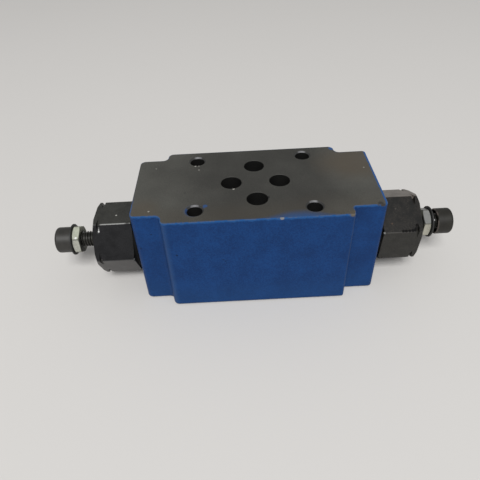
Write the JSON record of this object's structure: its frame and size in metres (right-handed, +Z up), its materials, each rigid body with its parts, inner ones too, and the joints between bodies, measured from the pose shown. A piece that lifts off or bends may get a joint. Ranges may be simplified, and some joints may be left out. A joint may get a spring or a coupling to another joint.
{
  "type": "hydraulic sandwich valve",
  "caption": "Blue cast sandwich plate valve, small standard port pattern, with an adjustable throttle and check cartridge screwed into each end.",
  "frame": {"origin": "middle of the four bolt holes on the bottom face, where the pattern's centre lines cross", "axes": "+X along the body towards port B, +Z up out of the top face towards the valve above"},
  "size_m": [0.1538, 0.0434, 0.0404],
  "materials": {
    "body_paint": "satin sprayed paint on cast iron, with ground top and bottom faces",
    "black_steel": "black oxide steel",
    "dark_steel": "oiled threaded steel",
    "hardened_steel": "ground",
    "spring_steel": "drawn wire",
    "zinc_steel": "zinc plated",
    "black_washer": "matt black",
    "cap_plastic": "matt moulded",
    "cap_rubber": "wet gloss",
    "seal_rubber": "smooth"
  },
  "bodies": {
    "root": {"valve_body": "body_paint", "port_seal_p": "seal_rubber", "port_seal_t": "seal_rubber", "port_seal_a": "seal_rubber", "port_seal_b": "seal_rubber", "left_end_plug": "black_steel", "left_plug_seal": "seal_rubber", "left_check_spring": "spring_steel", "right_end_plug": "black_steel", "right_plug_seal": "seal_rubber", "right_check_spring": "spring_steel"},
    "left_spool": {"left_throttle_spool": "hardened_steel"},
    "left_screw": {"left_adjusting_screw": "dark_steel", "left_screw_seal": "seal_rubber", "left_cap_ring": "cap_rubber"},
    "left_washer": {"left_nut_washer": "black_washer"},
    "left_nut": {"left_lock_nut": "zinc_steel"},
    "left_sleeve": {"left_seat_sleeve": "hardened_steel"},
    "left_cap": {"left_screw_cap": "cap_plastic"},
    "right_spool": {"right_throttle_spool": "hardened_steel"},
    "right_screw": {"right_adjusting_screw": "dark_steel", "right_screw_seal": "seal_rubber", "right_cap_ring": "cap_rubber"},
    "right_washer": {"right_nut_washer": "black_washer"},
    "right_nut": {"right_lock_nut": "zinc_steel"},
    "right_sleeve": {"right_seat_sleeve": "hardened_steel"},
    "right_cap": {"right_screw_cap": "cap_plastic"}
  },
  "joints": [
    {"name": "left_spool_travel", "type": "slide", "parent": "root", "child": "left_spool", "axis": [-1, 0, 0], "range_m": [-0.0041, 0.0019]},
    {"name": "left_screw_turn", "type": "hinge", "parent": "left_spool", "child": "left_screw", "pos_m": [0.00125, 0, 0.017], "axis": [-1, 0, 0], "range_deg": [-1478, 686]},
    {"name": "left_washer_travel", "type": "slide", "parent": "left_spool", "child": "left_washer", "axis": [1, 0, 0], "range_m": [0, 0.0071]},
    {"name": "left_nut_turn", "type": "hinge", "parent": "left_washer", "child": "left_nut", "pos_m": [0.00125, 0, 0.017], "axis": [1, 0, 0], "range_deg": [-2, 2558]},
    {"name": "left_check_lift", "type": "slide", "parent": "root", "child": "left_sleeve", "axis": [1, 0, 0], "range_m": [0, 0.003], "stiffness_N_per_m": 1500, "springref_m": -0.003, "deforming": ["left_check_spring"]},
    {"name": "left_cap_pull", "type": "slide", "parent": "left_screw", "child": "left_cap", "axis": [-1, 0, 0], "range_m": [0, 0.01]},
    {"name": "right_spool_travel", "type": "slide", "parent": "root", "child": "right_spool", "axis": [1, 0, 0], "range_m": [-0.002, 0.004]},
    {"name": "right_screw_turn", "type": "hinge", "parent": "right_spool", "child": "right_screw", "pos_m": [0.00125, 0, 0.017], "axis": [1, 0, 0], "range_deg": [-722, 1442]},
    {"name": "right_washer_travel", "type": "slide", "parent": "right_spool", "child": "right_washer", "axis": [-1, 0, 0], "range_m": [0, 0.0031]},
    {"name": "right_nut_turn", "type": "hinge", "parent": "right_washer", "child": "right_nut", "pos_m": [0.00125, 0, 0.017], "axis": [-1, 0, 0], "range_deg": [-2, 1118]},
    {"name": "right_check_lift", "type": "slide", "parent": "root", "child": "right_sleeve", "axis": [-1, 0, 0], "range_m": [0, 0.003], "stiffness_N_per_m": 1500, "springref_m": -0.003, "deforming": ["right_check_spring"]},
    {"name": "right_cap_pull", "type": "slide", "parent": "right_screw", "child": "right_cap", "axis": [1, 0, 0], "range_m": [0, 0.01]}
  ],
  "couplings": [
    {"joint": "left_screw_turn", "follows": "left_spool_travel", "rad_per_m": 6283.2},
    {"joint": "left_nut_turn", "follows": "left_washer_travel", "rad_per_m": 6283.2},
    {"joint": "right_screw_turn", "follows": "right_spool_travel", "rad_per_m": 6283.2},
    {"joint": "right_nut_turn", "follows": "right_washer_travel", "rad_per_m": 6283.2}
  ]
}
